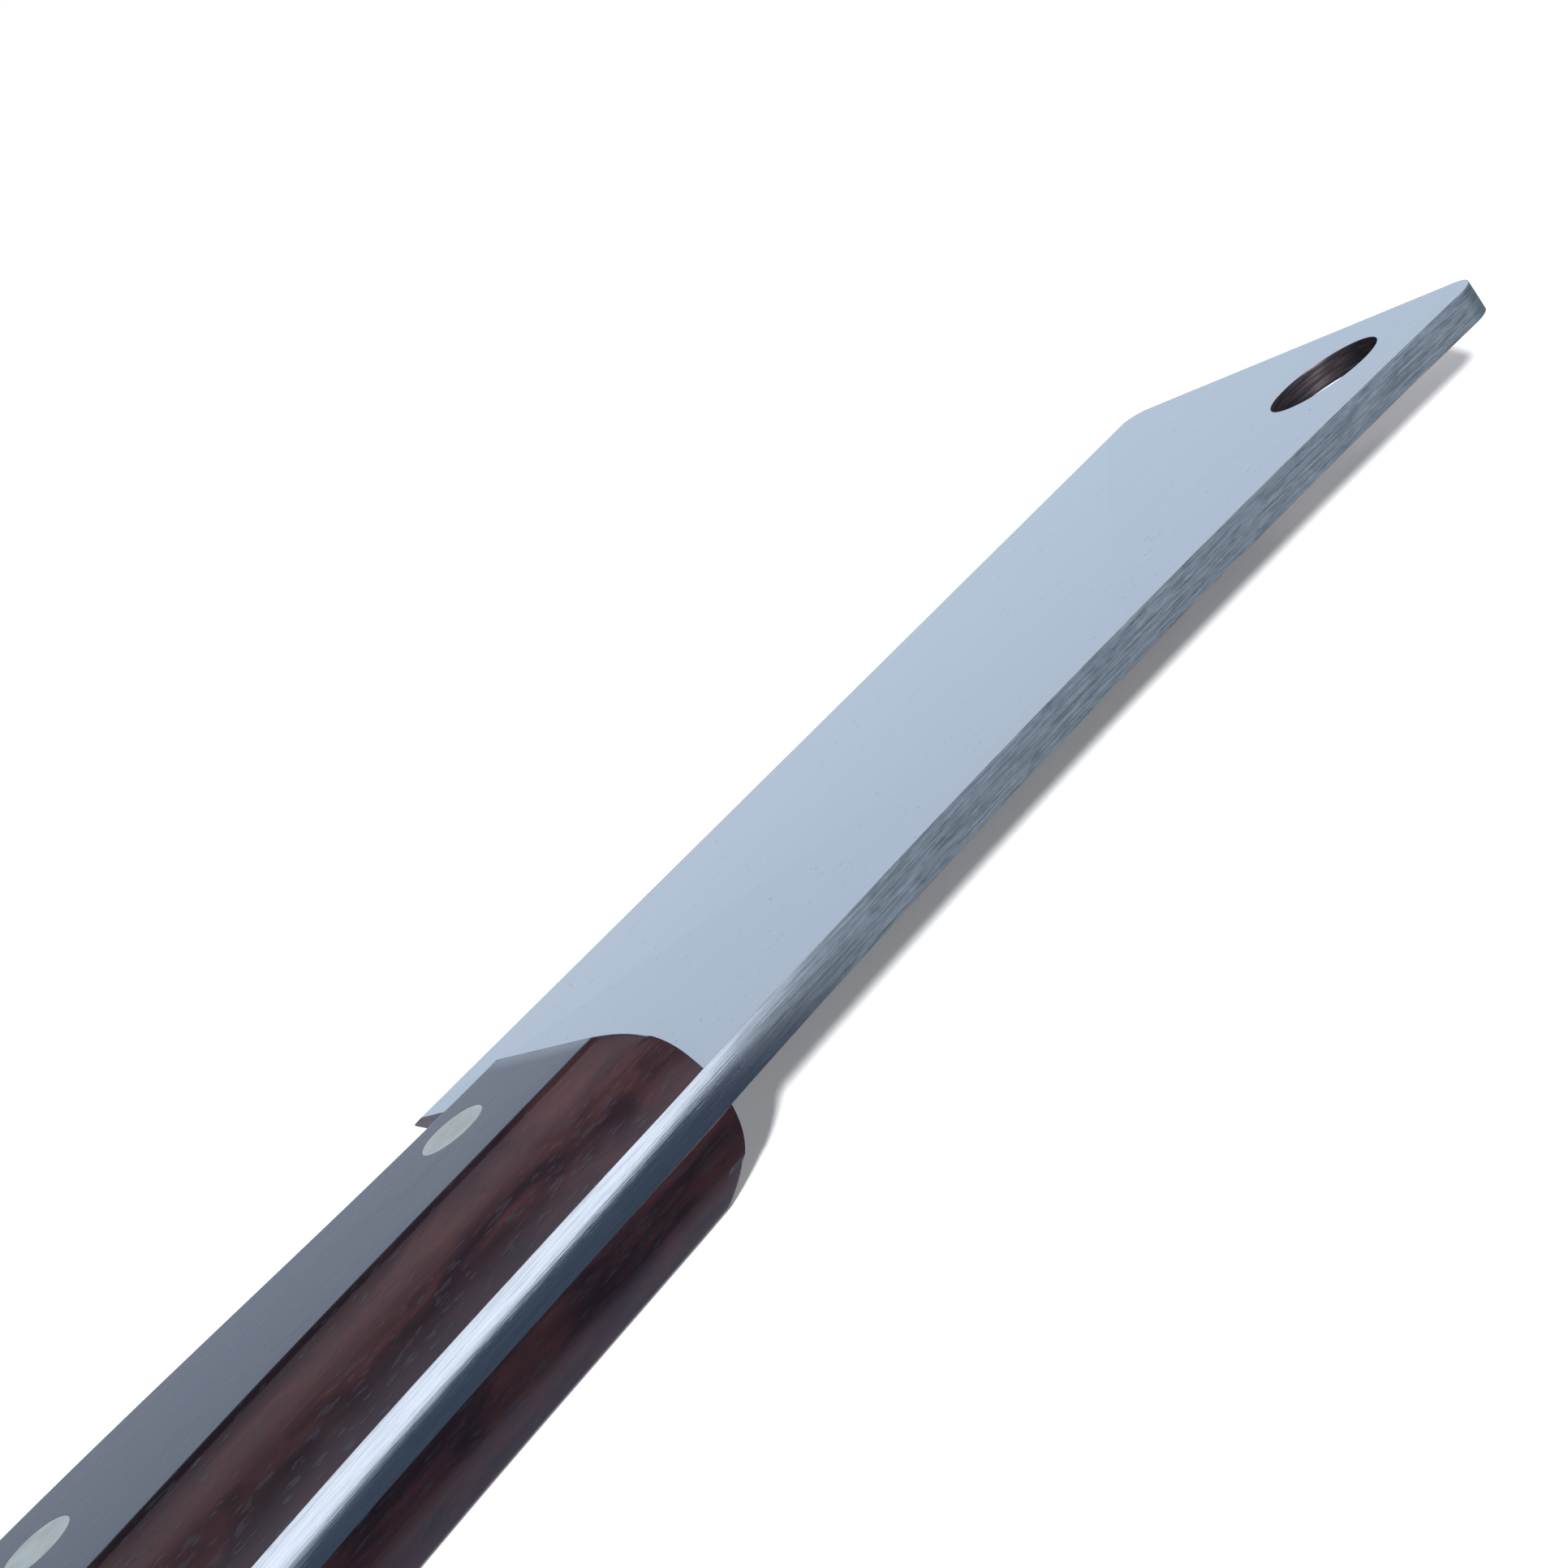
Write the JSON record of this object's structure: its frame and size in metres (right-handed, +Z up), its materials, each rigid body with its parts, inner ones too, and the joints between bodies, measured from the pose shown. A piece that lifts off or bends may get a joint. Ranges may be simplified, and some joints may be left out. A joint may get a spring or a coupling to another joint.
{
  "type": "butcher's cleaver knife",
  "caption": "Compact full-tang butcher's knife: broad tapered blade with a slanted front, hollow spine and hang hole, wooden scales held by flush press rivets.",
  "frame": {"origin": "middle of the bounding box in X and Y, on the surface that the knife lies on", "axes": "+X from the butt to the front of the blade, +Y from the spine to the cutting edge, +Z up through the knife's left side, square to the blade's middle plane"},
  "size_m": [0.2548, 0.0722, 0.019],
  "materials": {
    "blade_steel": "fine satin on the ground faces, coarser lengthwise brushing on the spine, polished between the scales",
    "rosewood": "smooth oiled, satin sheen, short dark pores along the grain",
    "nickel_silver": "sanded flush, satin"
  },
  "bodies": {
    "root": {"blade": "blade_steel", "left_scale": "rosewood", "right_scale": "rosewood", "front_rivet_stud": "nickel_silver", "middle_rivet_stud": "nickel_silver", "rear_rivet_stud": "nickel_silver", "front_rivet_tube": "nickel_silver", "middle_rivet_tube": "nickel_silver", "rear_rivet_tube": "nickel_silver"}
  },
  "joints": []
}
